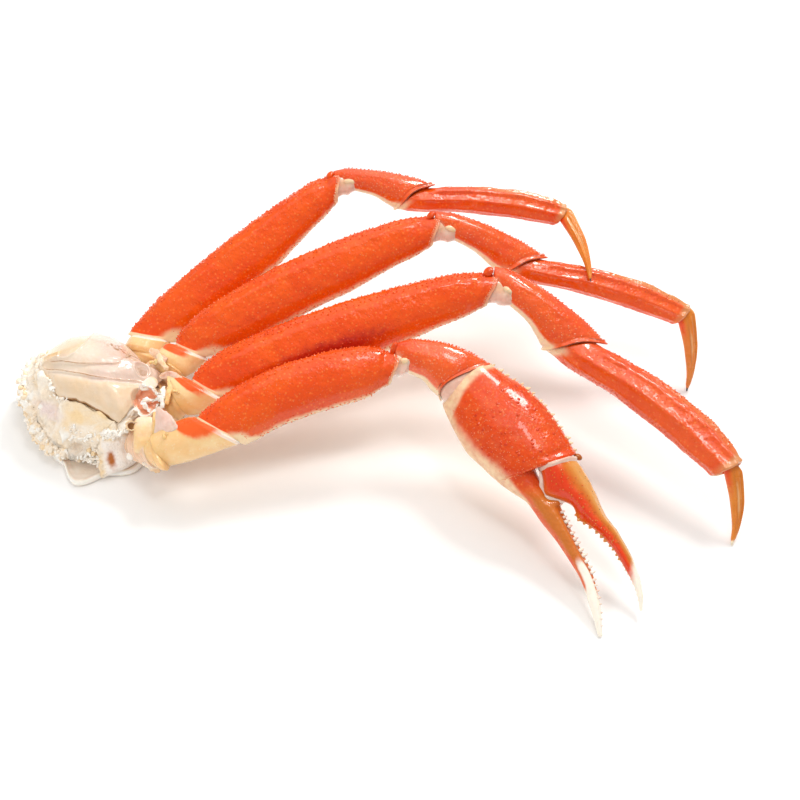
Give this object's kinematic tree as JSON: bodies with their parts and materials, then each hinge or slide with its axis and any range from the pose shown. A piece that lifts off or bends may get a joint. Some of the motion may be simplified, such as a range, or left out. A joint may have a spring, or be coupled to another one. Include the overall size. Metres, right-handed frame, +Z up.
{
  "type": "snow crab cluster",
  "caption": "Cooked half of a snow crab: a pale shoulder with walking legs and a claw leg fanned out from it, orange shells with cream undersides.",
  "frame": {"origin": "on the table, under the middle of the whole cluster's box", "axes": "+Z up from the table, +X from the shoulder towards the leg tips, +Y towards the rear leg"},
  "size_m": [0.2823, 0.1808, 0.0661],
  "materials": {
    "orange_shell": "wet cooked crab shell, red-orange with a cream underside",
    "amber_shell": "amber brown shell of the last joints, pale at the fingertips",
    "cream_shell": "cream yellow shell near the body, with orange blotches",
    "pale_shell": "thin pale inner shell over the shoulder, wet",
    "white_meat": "torn white crab meat",
    "joint_skin": "pale pinkish skin in the joints"
  },
  "bodies": {
    "root": {"rear_leg_coxa": "cream_shell", "rear_leg_ischium": "cream_shell", "rear_leg_merus": "orange_shell", "rear_leg_knee_skin": "joint_skin", "rear_leg_carpus": "orange_shell", "rear_leg_propodus": "orange_shell", "rear_leg_dactyl": "amber_shell", "middle_leg_coxa": "cream_shell", "middle_leg_ischium": "cream_shell", "middle_leg_merus": "orange_shell", "middle_leg_knee_skin": "joint_skin", "middle_leg_carpus": "orange_shell", "middle_leg_propodus": "orange_shell", "middle_leg_dactyl": "amber_shell", "front_leg_coxa": "cream_shell", "front_leg_ischium": "cream_shell", "front_leg_merus": "orange_shell", "front_leg_knee_skin": "joint_skin", "front_leg_carpus": "orange_shell", "front_leg_propodus": "orange_shell", "front_leg_dactyl": "amber_shell", "claw_coxa": "cream_shell", "claw_ischium": "cream_shell", "claw_merus": "orange_shell", "claw_knee_skin": "joint_skin", "claw_carpus": "orange_shell", "claw_wrist_skin": "joint_skin", "claw_palm": "orange_shell", "claw_movable_finger": "amber_shell", "shoulder_roof": "pale_shell", "shoulder_meat": "white_meat", "sternum": "pale_shell"}
  },
  "joints": []
}
